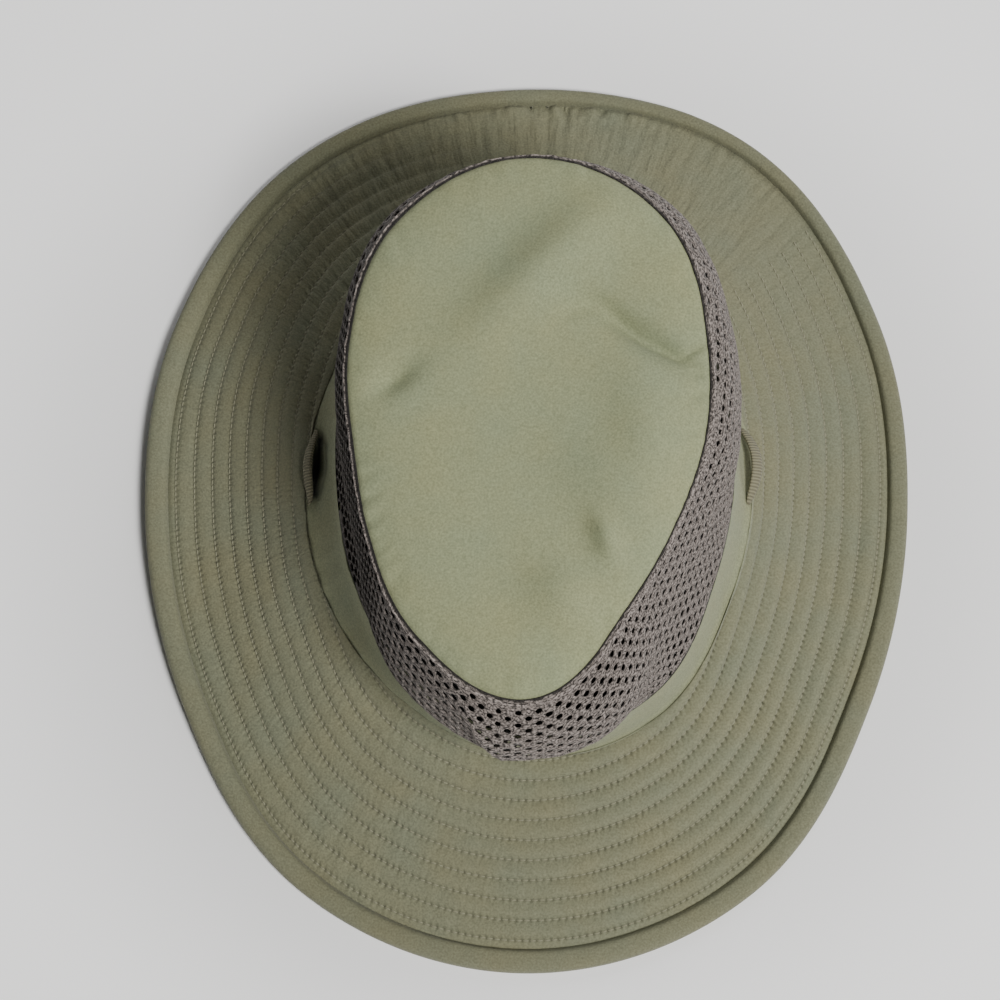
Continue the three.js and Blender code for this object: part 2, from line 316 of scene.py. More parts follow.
def wander(angle, across, pitch, seed):
    """Smooth uneven waves from -1 to 1, pitch millimetres apart round the hat."""
    turn = math.radians(angle)
    round_it = 150 / pitch
    place = (math.sin(turn) * round_it, math.cos(turn) * round_it, across + seed * 7.3)
    return noise.noise(Vector(place))


# ---- Meshes ----


def ring(name, stations, steps, place, marks, start=180.0, closed=False):
    """A ring of cloth, from a grid that runs round the hat and across it in whole steps. marks
    gives the UV maps by name, each from the share of the way round, the step, and the step at
    the middle of the face. A closed ring's last step is its first again."""
    bm = bmesh.new()
    bmesh.ops.create_grid(bm, x_segments=stations, y_segments=steps, size=0.5)
    layers = {mark: bm.loops.layers.uv.new(mark) for mark in marks}
    where = {}
    for vert in bm.verts:
        where[vert] = (round((vert.co.x + 0.5) * stations), round((vert.co.y + 0.5) * steps))
    for face in bm.faces:
        middle = sum(where[vert][1] for vert in face.verts) / 4
        for loop in face.loops:
            station, step = where[loop.vert]
            for mark, layer in layers.items():
                loop[layer].uv = marks[mark](station / stations, step, middle)
    for vert, (station, step) in where.items():
        angle = start + 360.0 * (station % stations) / stations
        vert.co = place(angle, step % steps if closed else step)
    bmesh.ops.remove_doubles(bm, verts=bm.verts, dist=1e-6)
    return settle(name, bm)


def settle(name, bm):
    """Makes an object of a finished mesh, smooth shaded."""
    for face in bm.faces:
        face.smooth = True
    mesh = bpy.data.meshes.new(name)
    bm.to_mesh(mesh)
    bm.free()
    piece = bpy.data.objects.new(name, mesh)
    bpy.context.scene.collection.objects.link(piece)
    return piece


def wall(piece, thickness):
    """Gives a single layer of cloth its thickness, inwards."""
    solid = piece.modifiers.new("cloth", "SOLIDIFY")
    solid.thickness = thickness * MM
    solid.offset = -1
    return piece


def sew_on(piece, finish, slot, *nodes):
    """Puts a finished piece on the hat."""
    piece.data.materials.append(finish)
    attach(piece, "root")
    if nodes:
        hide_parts(*nodes)


# ---- Materials ----


class Value:
    """A number that varies over a surface, for plain arithmetic with Math nodes."""

    def __init__(self, finish, socket):
        self.finish, self.socket = finish, socket

    def math(self, operation, *values):
        inputs = dict(enumerate(values))
        return self.finish.node("ShaderNodeMath", {"operation": operation}, inputs)

    def __add__(self, other):
        return self.math("ADD", self, other)

    def __sub__(self, other):
        return self.math("SUBTRACT", self, other)

    def __rsub__(self, other):
        return self.math("SUBTRACT", other, self)

    def __mul__(self, other):
        return self.math("MULTIPLY", self, other)

    __radd__, __rmul__ = __add__, __mul__

    def sine(self):
        return self.math("SINE", self)

    def whole(self):
        return self.math("ROUND", self)

    def off_whole(self):
        """Distance from the nearest whole number."""
        return self.math("ABSOLUTE", self - self.whole())

    def near(self, width):
        """1 at zero, falling to 0 at this distance from it."""
        return self.near_between(width, 0.0)

    def near_between(self, low, high):
        """0 at low, rising or falling smoothly to 1 at high."""
        shares = {0: self, 1: low, 2: high, 3: 0.0, 4: 1.0}
        kind = {"interpolation_type": "SMOOTHSTEP"}
        return self.finish.node("ShaderNodeMapRange", kind, shares)


class Finish:
    """A material that is built up node by node round one main shader."""

    def __init__(self, name, roughness, sheen=0.0):
        self.material = bpy.data.materials.new(name)
        self.material.use_nodes = True
        self.tree = self.material.node_tree
        self.shader = self.tree.nodes["Principled BSDF"]
        self.shader.inputs["Roughness"].default_value = roughness
        self.shader.inputs["Specular IOR Level"].default_value = 0.25
        self.shader.inputs["Sheen Weight"].default_value = sheen
        self.shader.inputs["Sheen Roughness"].default_value = 0.5

    def node(self, kind, settings=None, inputs=None, output=0):
        made = self.tree.nodes.new(kind)
        for name, value in (settings or {}).items():
            if name == "stops":
                for stop, (place, color) in zip(made.color_ramp.elements, value):
                    stop.position, stop.color = place, (*color, 1)
            else:
                setattr(made, name, value)
        for name, value in (inputs or {}).items():
            if isinstance(value, Value):
                self.tree.links.new(value.socket, made.inputs[name])
            else:
                made.inputs[name].default_value = value
        return Value(self, made.outputs[output])

    def place(self):
        return self.node("ShaderNodeTexCoord", output="Object")

    def mark(self, name):
        """The two numbers of one of the piece's own UV maps."""
        spot = self.node("ShaderNodeUVMap", {"uv_map": name})
        return [self.node("ShaderNodeSeparateXYZ", {}, {0: spot}, axis) for axis in (0, 1)]

    def grain(self, where, size, detail=2.0):
        """Soft noise about 0.5, with spots of this size in millimetres."""
        inputs = {"Vector": where, "Scale": 1 / (size * MM), "Detail": detail}
        return self.node("ShaderNodeTexNoise", {}, inputs)

    def flat_grain(self, u, v, size, detail=1.0):
        """Noise over two numbers in millimetres."""
        spot = self.node("ShaderNodeCombineXYZ", {}, {0: u, 1: v})
        inputs = {"Vector": spot, "Scale": 1 / size, "Detail": detail}
        return self.node("ShaderNodeTexNoise", {}, inputs)

    def blend(self, share, one, other, how="MIX"):
        """Between two colours."""
        colors = {"Factor": share, 6: one, 7: other}
        return self.node("ShaderNodeMix", {"data_type": "RGBA", "blend_type": how}, colors, 2)

    def times(self, tone, share):
        """A lighter or darker tone."""
        return self.blend(1.0, tone, (share, share, share, 1), "MULTIPLY")

    def ramp(self, share, *stops):
        return self.node("ShaderNodeValToRGB", {"stops": stops}, {0: share})

    def finish(self, color, height, depth):
        """Sets the colour, and the relief from a height of 0 to 1 that is so many mm deep."""
        self.tree.links.new(color.socket, self.shader.inputs["Base Color"])
        relief = {"Height": height, "Strength": 1.0, "Distance": depth * MM}
        self.tree.links.new(
            self.node("ShaderNodeBump", {}, relief).socket, self.shader.inputs["Normal"]
        )
        return self.material


def shaded(color, share):
    return (*(channel * share for channel in color[:3]), 1)


def tinted(color, red, green, blue):
    return (color[0] * red, color[1] * green, color[2] * blue, 1)


WEAVE = 0.65  # millimetres from one thread that passes over to the next
# near black, used only as painted shade and painted shadow
PAINTED_SHADE = (0.008, 0.008, 0.007, 1)


def woven(name, color, patchy=0.5):
    """Plain-weave cloth: fine grain, faint browner and greener patches, and its threads."""
    cloth = Finish(name, 0.88, 0.12)
    where = cloth.place()
    patches = cloth.grain(where, 26, 3)
    greener, browner = tinted(color, 0.96, 1.0, 1.04), tinted(color, 1.04, 1.0, 0.94)
    tone = cloth.blend((patches - 0.5) * (4 * patchy) + 0.5, greener, browner)
    fine = (cloth.grain(where, 0.8, 2) - 0.5) * 2.0 + 0.5
    tone = cloth.blend(fine, cloth.times(tone, 0.78), cloth.times(tone, 1.22))
    u, v = cloth.mark("cloth")
    turns = 2 * math.pi / WEAVE
    threads = (u * turns).sine() * (v * turns).sine()
    slack = cloth.flat_grain(u, v, 7, 3)
    height = threads * 0.12 + fine * 0.3 + slack * 1.6
    return cloth, tone, height, (u, v)


# ---- Pieces: brim ----

ROW_START = 2.4  # from the binding to the first row of quilting
ROW_STEPS = 8
EDGE_STEPS = 4  # from the brim's edge, in the groove, to the first row
BRIM_TOP_STEPS = 84
BRIM_UNDER_STEPS = 13
ROWS = 10  # rows that are long enough to stitch, the innermost partly under the strip
GROOVE = 1.1  # from the brim's edge outwards, down the side of the groove
THREAD = 0.33  # half the width of a thread
STITCH_HALF, STITCH_FLAT = 0.40, 0.18  # shares of the pitch where a thread dips and lies flat


def surface(line, angle, distance, height=0.0, share=False):
    """A point on one of the lines, between the two nearest angles that are worked out."""
    before = math.floor(angle / RUN_EVERY) * RUN_EVERY
    points = []
    for near in (before, before + RUN_EVERY):
        run = run_of(line, near % 360)
        reach = distance * run.length if share else min(distance, run.length)
        points.append(run.at(reach, height))
    return points[0].lerp(points[1], (angle - before) / RUN_EVERY)


def quilted(angle):
    """How clearly the rows show: round the back, puckers hide them."""
    turn = turn_from(angle, 166)
    return 1 - 0.9 * (1 - (smooth(turn, 34, 72) if turn > 0 else smooth(-turn, 20, 50)))


def stitch_depth(angle):
    """How deep the stitches pull the cloth in: most at the front right, least on the left."""
    return 0.25 + 0.75 * about(angle, 50, 55)


def brim_relief(angle, distance, sizes):
    """How far the quilting stands above the brim's own line, in millimetres."""
    # Rows, each fullest a little outside its middle. At the back left only soft bands are left.
    shown = quilted(angle)
    rows = (distance - ROW_START) / sizes.row_pitch
    between = (rows - math.floor(rows)) ** 0.68
    soft_rows = 0.42 * about(angle, 215, 22)
    rise = sizes.quilt_rise * max(shown * stitch_depth(angle), soft_rows)
    relief = rise * (4 * between * (1 - between) - 0.4)
    # The edge rolls down into the groove beside the binding.
    relief -= (0.7 + 1.5 * about(angle, 30, 50)) * bump(distance, -0.6, 1.4)
    # Loose waves where no rows hold the cloth, and puckers from the edge inwards at the back.
    drawn = 1 - shown + 0.6 * about(angle, 335, 14)
    outer = 1 - smooth(distance, 4, 50)
    relief += 0.8 * wander(angle, distance / 26, 3.8, 1) * drawn * (0.3 + 0.4 * outer)
    puckers = about(angle, 176, 16) * (1 - smooth(distance, 2.5, 10))
    relief += 1.7 * wander(angle, distance / 7, 2.7, 21) * puckers
    # Small unevenness everywhere.
    relief += 0.1 * wander(angle, distance / 20, 6, 11)
    relief += 0.35 * wander(angle, distance / 40, 30, 2)
    # The seam at the back, and a short one on each side of it.
    hem_side = bump(distance, 3, 8)
    seam = turn_from(angle, BACK_SEAM) * 3
    relief -= 1.1 * bump(seam, 0, 1.3) * (0.6 + noise.noise(Vector((0, 0, distance / 5))))
    relief -= (0.15 + 1.4 * hem_side) * bump(seam, -8, 1.3) + 0.9 * hem_side * bump(seam, 7, 1.0)
    return relief


def brim_distance(angle, step, sizes):
    """Distance in from the binding of a step across the brim's upper or lower face."""
    pitch = sizes.row_pitch / ROW_STEPS
    start = ROW_START - EDGE_STEPS * pitch
    if step <= BRIM_TOP_STEPS:
        return start + step * pitch
    share = 1 - (step - BRIM_TOP_STEPS - 1) / (BRIM_UNDER_STEPS - 1)
    return start + share * (reach_of(brim_line, angle) - start)


def brim_place(angle, step, sizes):
    """A point of the brim: its upper face, its lower face or its edge in the groove."""
    distance = brim_distance(angle, step, sizes)
    under = step > BRIM_TOP_STEPS
    height = -BRIM_CLOTH if under else brim_relief(angle, distance, sizes)
    if distance < 0:
        edge = surface(brim_line, angle, 0)
        down = smooth(-distance, 0.1, GROOVE)
        height += (0.1 - BRIM_CLOTH - height) * down
        return swing(angle, edge + Vector((-distance, height)))
    return swing(angle, surface(brim_line, angle, distance, height))


def stitch_count(row, sizes):
    """Stitches in a row of quilting, all the way round."""
    distance = ROW_START + row * sizes.row_pitch
    places = [swing(turn, surface(brim_line, turn, distance)) for turn in range(0, 360, 5)]
    length = sum((end - start).length for start, end in zip(places, places[1:] + places[:1]))
    return max(1, round(length / MM / sizes.stitch_pitch))


def make_brim(sizes, colors):
    counts = {row: stitch_count(row, sizes) for row in range(-1, ROWS + 1)}

    def row_at(turn, step):
        angle = BACK_SEAM + 360 * turn
        return (brim_distance(angle, step, sizes) - ROW_START) / sizes.row_pitch

    def stitch_mark(turn, step, middle):
        row = min(max(round(row_at(turn, middle)), -1), ROWS)
        return turn * counts[row], row_at(turn, step)

    def cloth_mark(turn, step, middle):
        return turn * 1000, row_at(turn, step) * sizes.row_pitch

    def drawn_mark(turn, step, middle):
        angle = BACK_SEAM + 360 * turn
        return quilted(angle), stitch_depth(angle)

    brim = ring(
        "quilted_brim",
        stations=960,
        steps=BRIM_TOP_STEPS + BRIM_UNDER_STEPS + 1,
        place=lambda angle, step: brim_place(angle, step, sizes),
        marks={"cloth": cloth_mark, "stitch": stitch_mark, "drawn": drawn_mark},
        start=BACK_SEAM,
        closed=True,
    )
    sew_on(brim, quilted_cloth(colors), "brim_cloth", "brim")


def make_brim_stitches(sizes, colors):
    """The threads of the quilting, each a short round thread lying in its row."""
    line = bpy.data.curves.new("brim_stitches", "CURVE")
    line.dimensions, line.bevel_depth, line.bevel_resolution = "3D", THREAD * MM, 1
    line.use_fill_caps = True
    for row in range(ROWS):
        distance = ROW_START + row * sizes.row_pitch
        count = stitch_count(row, sizes)
        for stitch in range(count):
            angle = BACK_SEAM + 360 * (stitch + 0.5) / count
            if distance > reach_of(brim_line, angle) - 1 or quilted(angle) < 0.3:
                continue
            thread = line.splines.new("POLY")
            thread.points.add(3)
            way = (-STITCH_HALF, -STITCH_FLAT, STITCH_FLAT, STITCH_HALF)
            for point, along in zip(thread.points, way):
                turn = angle + along * 360 / count
                above, thick = (0.3, 1) if abs(along) == STITCH_FLAT else (-0.1, 0.6)
                height = brim_relief(turn, distance, sizes) + above
                place = swing(turn, surface(brim_line, turn, distance, height))
                point.co = (*place, 1)
                point.radius = thick * (0.7 + 0.3 * stitch_depth(turn))
    threads = bpy.data.objects.new("brim_stitches", line)
    bpy.context.scene.collection.objects.link(threads)
    sew_on(threads, thread_finish(colors), "brim_cloth")


# Half section of the rolled binding: distance in from the rim and height over its underside.
BINDING_ROLL = [
    (8.4, 0.0),
    (5.0, 0.0),
    (1.7, 0.0),
    (0.4, 0.7),
    (0.0, 2.1),
    (0.3, 4.0),
    (1.4, 5.3),
    (3.2, 5.7),
    (5.2, 5.6),
    (6.8, 5.0),
    (7.8, 3.0),
    (8.3, 1.3),
    (8.6, 0.4),
]


def make_binding(colors):
    steps = 34
    roll = [Vector(point) for point in BINDING_ROLL]

    def place(angle, step):
        inward, height = spline(roll, step / (steps - 1))
        upper = smooth(height, 2.2, 4.6)
        height += upper * (0.3 * wander(angle, 0, 22, 3) + 0.12 * wander(angle, inward / 3, 5, 4))
        inward += upper * 0.25 * wander(angle, 1, 30, 5)
        if inward > 3:
            inward = 3 + (inward - 3) * (binding_width(angle) - 3) / (BINDING_ROLL[-1][0] - 3)
        return swing(angle, Vector((section(angle).rim - inward, lift(angle) + max(height, 0))))

    def cloth_mark(turn, step, middle):
        return turn * 1050, step * 0.7

    marks = {"cloth": cloth_mark}
    binding = ring("brim_binding_roll", 720, steps, place, marks, start=BACK_SEAM, closed=True)
    finish = plain_cloth("binding_cloth", shaded(colors.brim, 0.92), 0.264)
    sew_on(binding, finish, "binding_cloth", "brim_binding")


# ---- Pieces: crown ----

# Middle of each tape loop, its slope from level, how far its middle stands off the strip, and
# how deep the strip is hollowed behind it.
Loop = namedtuple("Loop", "angle slope stand hollow")
LOOPS = {"right": Loop(97.0, 46, 3.2, 0.0), "left": Loop(263.0, 56, 3.0, 3.4)}
LOOP_REACH = 10.5  # degrees from a loop's middle to its ends
STRIP_FOOT = -1.2  # where the strip starts, below the brim's seam


def make_strip(colors):
    steps = 18

    def up(step):
        return STRIP_FOOT + step / steps * (STRIP_RISE + 1.0)

    def place(angle, step):
        distance = up(step)
        relief = 0.35 * wander(angle, distance / 30, 9, 6) + 0.25 * wander(angle, 0, 40, 7)
        flare = 0.5 + 0.5 * math.sin(math.radians(angle))
        relief += 1.7 * flare * (1 - smooth(distance, -1.5, 3.2)) + 0.3 * bump(distance, 1, 1.6)
        for loop in LOOPS.values():
            hollow = about(angle, loop.angle, LOOP_REACH * 0.8)
            relief -= loop.hollow * hollow * bump(distance, 5.5, 4)
        return swing(angle, surface(strip_line, angle, distance, relief - 0.3))

    def painted_shadow_mark(turn, step, middle):
        """Painted shadow in the hollow along the left loop, a crescent that is highest at its
        ends.
        """
        angle = 180 + 360 * turn
        reach = abs(turn_from(angle, LOOPS["left"].angle)) / LOOP_REACH
        opening = 2.5 + 1.8 * min(reach, 1) + 0.5 * wander(angle, 0, 7, 22)
        across = bump(up(step), opening, 1.6)
        return min(1.0, 1.4 * across * (1 - smooth(reach, 0.7, 0.95))), 0

    def cloth_mark(turn, step, middle):
        return turn * 600, step * 1.6

    marks = {"cloth": cloth_mark, "hollow": painted_shadow_mark}
    strip = wall(ring("crown_strip", 480, steps, place, marks), STRIP_CLOTH)
    sew_on(strip, strip_finish(colors), "crown_cloth", "side_strip")


NET_SLANT = 299.5  # radius of the net's cut, flat, along its lower edge
NET_WIDTH = 50.0
NET_CLOTH = 0.6
NET_SHARE = 3.0  # degrees round the hat for each degree of the flat cut
NET_FOOT, NET_HEAD, NET_END = 1.5, 3.2, 2.5  # width without holes along each side of the cut


@lru_cache(maxsize=None)
def net_girth():
    """Distance round the middle of the net, from the front, at every half degree."""
    places = [swing(turn / 2, net_line(turn / 2, 0.55)) / MM for turn in range(721)]
    girth = [0.0]
    for start, end in zip(places, places[1:]):
        girth.append(girth[-1] + (end - start).length)
    return girth


def net_angle(share):
    """The angle round the hat at a share of the way round the net, from the front."""
    girth = net_girth()
    distance = share % 1 * girth[-1]
    row = min(bisect_right(girth, distance) - 1, len(girth) - 2)
    return (row + (distance - girth[row]) / (girth[row + 1] - girth[row])) / 2


def make_net_cells(bm, pitch):
    """Six-sided cells side by side, over the flat cut: an arc whose upper edge is the shorter."""
    column = pitch * math.sqrt(3) / 2
    low = NET_SLANT * math.cos(math.radians(180 / NET_SHARE)) - NET_WIDTH
    columns, rows = math.ceil(NET_SLANT / column), math.ceil((NET_SLANT - low) / pitch) + 1
    columns += columns % 2
    for left, lower in ((0, 0), (1, 0.5)):
        start = Matrix.Translation(((left - columns) * column, low + lower * pitch, 0))
        start @= Matrix.Rotation(math.radians(30), 4, "Z")
        radius = pitch / math.sqrt(3)
        bmesh.ops.create_circle(bm, cap_ends=True, segments=6, radius=radius, matrix=start)
    for steps, move in ((rows, (0, pitch, 0)), (columns, (2 * column, 0, 0))):
        still = {"cent": (0, 0, 0), "axis": (0, 0, 1), "use_duplicate": True}
        whole = bm.verts[:] + bm.edges[:] + bm.faces[:]
        bmesh.ops.spin(bm, geom=whole, dvec=move, steps=steps, **still)
    bmesh.ops.remove_doubles(bm, verts=bm.verts, dist=pitch * 0.05)
    outside = [face for face in bm.faces if not on_net_cut(face.calc_center_median(), pitch / 2)]
    bmesh.ops.delete(bm, geom=outside, context="FACES")


def on_net_cut(point, spare):
    height, edge = net_cut_place(point)
    return -spare < height < NET_WIDTH + spare and edge > -spare


def net_cut_place(point):
    """How far a point of the flat cut is up from its lower edge, and in from its nearer end."""
    turn = abs(math.atan2(point.x, point.y))
    return NET_SLANT - point.length, (math.radians(180 / NET_SHARE) - turn) * NET_SLANT


def make_net_band(sizes, colors):
    """Open net: the flat cut's cells each get a hole, then the cut is wrapped round the crown."""
    pitch = sizes.net_pitch
    bm = bmesh.new()
    make_net_cells(bm, pitch)
    bmesh.ops.recalc_face_normals(bm, faces=bm.faces)
    bmesh.ops.subdivide_edges(bm, edges=bm.edges, cuts=1)
    holes = []
    for face in bm.faces:
        height, edge = net_cut_place(face.calc_center_median())
        if NET_FOOT < height < NET_WIDTH - NET_HEAD and edge > NET_END:
            holes.append(face)
    bmesh.ops.inset_individual(bm, faces=holes, thickness=pitch * 0.12)
    for face in holes:
        middle = face.calc_center_median()
        up = middle.normalized()
        spread = -math.degrees(math.atan2(middle.x, middle.y)) * NET_SHARE
        height, _ = net_cut_place(middle)
        left = bump(spread, 80, 55)
        slack = 1 + 0.14 * noise.noise(middle / 9) + 0.44 * left - 0.25 * bump(spread, -150, 45)
        open_up = 0.74 + 0.3 * max(1 - smooth(height, 14, 32), left)
        for vert in face.verts:
            out = (vert.co - middle).normalized() * pitch * sizes.net_hole / 2 * slack
            rise = up * out.dot(up)
            vert.co = middle + (out - rise) * 1.22 + rise * open_up
            vert.co.z = -0.2
    bmesh.ops.delete(bm, geom=holes, context="FACES_ONLY")
    mark = bm.loops.layers.uv.new("cloth")
    for face in bm.faces:
        for loop in face.loops:
            flat = loop.vert.co
            turn = math.atan2(flat.x, flat.y)
            loop[mark].uv = (turn * NET_SLANT, NET_SLANT - math.hypot(flat.x, flat.y))
    for vert in bm.verts:
        height = vert.co.z
        radius = math.hypot(vert.co.x, vert.co.y)
        turn = NET_SHARE * math.degrees(math.atan2(vert.co.x, vert.co.y)) / 360
        share = min(max((NET_SLANT - radius) / NET_WIDTH, 0), 1)
        angle = net_angle(min(max(turn, -0.49999), 0.5))
        slack = 0.35 * wander(angle, share * 2, 14, 8)
        height += slack * smooth(share, 0, 0.2) * (1 - smooth(share, 0.8, 1))
        vert.co = swing(angle, surface(net_line, angle, share, height, share=True))
    bmesh.ops.remove_doubles(bm, verts=bm.verts, dist=2e-5)
    bmesh.ops.reverse_faces(bm, faces=bm.faces)
    net = wall(settle("crown_net", bm), NET_CLOTH)
    sew_on(net, net_finish(colors), "net_cloth", "net_band")


def hem_width(angle):
    """The hem is narrow along the left and round the back."""
    return 1.9 + 1.2 * about(angle, 35, 50)


def make_net_hem(colors):
    """The net's folded edge along the top seam, where the layers are too thick for holes."""
    steps = 12

    def place(angle, step):
        share = step / steps
        width = hem_width(angle)
        puff = 1.1 * math.sin(math.pi * share) ** 0.7 * (1 + 0.4 * wander(angle, 0, 5, 9))
        distance = reach_of(net_line, angle) - 0.6 - width * (1 - share)
        return swing(angle, surface(net_line, angle, distance, puff - 0.4 - 1.2 * share**4))

    def cloth_mark(turn, step, middle):
        return turn * 520, (1 - step / steps) * hem_width(180 + 360 * turn)

    hem = wall(ring("crown_net_hem", 600, steps, place, {"cloth": cloth_mark}), NET_CLOTH)
    sew_on(hem, net_finish(colors, "net_hem"), "net_cloth")


def make_top_panel(colors):
    steps = 72

    def inwards(step):
        return (step / steps) ** 1.15  # closer steps near the seam

    def place(angle, step):
        share = inwards(step)
        inside = section(angle).seam * share
        point = top_line(angle, share)
        edge = 1 - smooth(inside, 0, 2.6)
        pull = smooth(inside, 0, 1) * (1 - smooth(inside, 3, 13))
        point.y -= 1.3 * edge**2
        point.x += 0.35 * edge
        point.y += 0.8 * pull * wander(angle, inside / 30, 9, 10)
        point.y += 0.5 * smooth(inside, 8, 30) * noise.noise(swing(angle, point) * 22)
        return swing(angle, point)

    def cloth_mark(turn, step, middle):
        angle = math.radians(180 + 360 * turn)
        radius = 90 * (1 - inwards(step))
        return 200 + radius * math.sin(angle), 200 - radius * math.cos(angle)

    panel = wall(ring("crown_top_panel", 420, steps, place, {"cloth": cloth_mark}), TOP_CLOTH)
    sew_on(panel, plain_cloth("top_cloth", colors.top, 0.11), "crown_cloth", "top_panel")


def make_tape_loop(side, colors):
    """A tape loop that comes out of the brim's seam and goes back into it."""
    bm = bmesh.new()
    bmesh.ops.create_grid(bm, x_segments=60, y_segments=6, size=0.5)
    mark = bm.loops.layers.uv.new("cloth")
    for face in bm.faces:
        for corner in face.loops:
            corner[mark].uv = (corner.vert.co.x * 34, corner.vert.co.y * 6)
    loop = LOOPS[side]
    slope = math.radians(loop.slope)
    down = Vector((math.cos(slope), -math.sin(slope)))
    out = Vector((math.sin(slope), math.cos(slope)))
    for vert in bm.verts:
        share, across = vert.co.x + 0.5, 0.5 - vert.co.y
        angle = loop.angle + LOOP_REACH * (2 * share - 1)
        arch = math.sin(math.pi * share)
        spread = math.sqrt(max(arch, 0))
        width, rise = 1.4 + 4.4 * spread, 1.6 + 6.4 * spread
        crown = 0.4 + 0.8 * arch + 0.5 * math.sin(math.pi * across)
        point = surface(strip_line, angle, rise, (loop.stand + 0.6) * arch - 0.6)
        vert.co = swing(angle, point + (down * (width * across) + out * crown))
    tape = wall(settle(f"tape_loop_{side}", bm), TAPE_CLOTH)
    sew_on(tape, tape_finish(colors, side), "tape", f"side_loop_{side}")


# ---- The hat's finishes ----


def plain_cloth(name, color, depth):
    cloth, tone, height, _ = woven(name, tuple(color))
    return cloth.finish(tone, height, depth)


def strip_finish(colors):
    """The strip's cloth, with painted shadow in the hollow behind the left loop."""
    cloth, tone, height, _ = woven("strip_cloth", tuple(colors.strip))
    hollow, _ = cloth.mark("hollow")
    # painted shadow where the hollow map is set
    return cloth.finish(cloth.blend(hollow, tone, PAINTED_SHADE), height, 0.2)


def quilted_cloth(colors):
    """The brim's cloth: pits where the needle went in, and puckers between the rows. The pits and
    the rows also get painted shade in the colour.
    """
    cloth, tone, height, (u, v) = woven("brim_cloth", tuple(colors.brim), 0.6)
    stitch, row = cloth.mark("stitch")
    shown, depth = cloth.mark("drawn")
    off_row = row.off_whole()
    strength = cloth.flat_grain(u, v * 0.25, 24, 2) * shown
    pit = stitch.off_whole().near(0.4) * off_row.near(0.15)
    pit = pit * (strength * 1.5 + shown * 0.15) * depth
    drawn = (stitch * (2 * math.pi)).sine() * off_row.near(0.35)
    pucker = cloth.flat_grain(u, v * 0.2, 3.4, 2)
    height = height + drawn * strength * 0.9 + pucker * (4.2 - shown * 3) - pit * 1.5
    # painted shade in the needle pits
    tone = cloth.blend(pit * 0.85, tone, shaded(colors.brim, 0.4))
    # painted shadow along each row of stitches
    tone = cloth.blend(off_row.near(0.12) * shown * depth * 0.34, tone, shaded(colors.brim, 0.5))
    return cloth.finish(tone, height, 0.3)


def net_finish(colors, name="net_cloth"):
    """Knitted net: light and dark loops of thread, drawn out along the band. The band has painted
    shade on its left and painted shadow along both edges; the hem has a painted highlight and
    painted shadow along the top seam.
    """
    net = Finish(name, 0.85, 0.05)
    u, v = net.mark("cloth")
    lean = net.flat_grain(u, v, 3, 1) * 1.6
    loops = net.flat_grain(u * 0.55 + lean, v, 0.6, 2)
    dark, light = shaded(colors.net, 0.24)[:3], shaded(colors.net, 2.25)[:3]
    tone = net.ramp(loops, (0.40, dark), (0.64, light))
    if name == "net_hem":
        # painted highlight: the hem is a lighter copy of the net, with painted shadow in the gap
        # along the top seam
        tone = net.blend(v.near_between(0.7, 0.3), net.times(tone, 1.25), PAINTED_SHADE)
    else:
        # painted shade: the net's left side is darker, where the light falls away from it
        left = u.near_between(-12, -75) * u.near_between(-310, -200)
        tone = net.blend(left * 0.5, tone, PAINTED_SHADE)
        # painted shadow along the net's lower seam with the strip
        tone = net.blend(v.near_between(0.9, 0.4), tone, PAINTED_SHADE)
        # painted shadow along the gap under the top panel's edge
        tone = net.blend(v.near_between(NET_WIDTH - 0.7, NET_WIDTH - 0.3) * 0.85, tone, PAINTED_SHADE)
    return net.finish(tone, loops, 0.16)


RIB = 1.25  # millimetres from rib to rib of the tape


def tape_finish(colors, side):
    """Woven tape with ribs across it."""
    tape = Finish(f"tape_{side}", 0.85, 0.1)
    u, v = tape.mark("cloth")
    ribs = (u * (2 * math.pi / RIB)).sine() * 0.5 + 0.5
    tone = tape.blend(ribs, shaded(colors.tape, 0.6), shaded(colors.tape, 1.1))
    return tape.finish(tone, ribs + tape.grain(tape.place(), 0.6) * 0.5, 0.3)


def thread_finish(colors):
    thread = Finish("quilting_thread", 0.7, 0.1)
    twist = thread.grain(thread.place(), 0.5)
    tone = thread.blend(twist, shaded(colors.thread, 0.8), shaded(colors.thread, 1.15))
    return thread.finish(tone, twist, 0.08)


# ---- Stage ----

GLOW = 0.35
SKY = 0.058
FLOOR_HALF = 6  # metres
KEY_TURN, KEY_HEIGHT, KEY_AWAY = 43.0, 57.0, 3.6  # degrees from the front, degrees up, metres
EYE = Vector((-10.44, -341.95, 1304.0)) * MM
LOOKS_AT = Vector((-10.44, 7.46, 0)) * MM


def aim(thing, target):
    thing.rotation_euler = (target - thing.location).to_track_quat("-Z", "Y").to_euler()


def make_lamp(name, place, size, power, color):
    lamp = bpy.data.lights.new(name, "AREA")
    lamp.size, lamp.energy, lamp.color = size, power, color
    stand = bpy.data.objects.new(name, lamp)
    stand.location = place
    aim(stand, Vector((0, 0, 0.04)))
    bpy.context.scene.collection.objects.link(stand)


def floor_finish():
    """Pale paper that glows a little round the hat, with painted shade: near black inside the hat,
    under the crown.
    """
    paper = Finish("pale_floor", 0.9)
    where = paper.place()
    out = paper.node("ShaderNodeVectorMath", {"operation": "LENGTH"}, {0: where}, 1)
    # painted shade: a dark disc on the floor under the crown
    tone = paper.blend(out.near_between(0.08, 0.1), (0.02, 0.02, 0.02, 1), (0.93, 0.93, 0.93, 1))
    paper.tree.links.new(tone.socket, paper.shader.inputs["Base Color"])
    paper.shader.inputs["Emission Strength"].default_value = GLOW
    glow = paper.blend(out.near_between(0.14, 0.26), (0, 0, 0, 1), (1, 1, 1, 1))
    paper.tree.links.new(glow.socket, paper.shader.inputs["Emission Color"])
    return paper.material


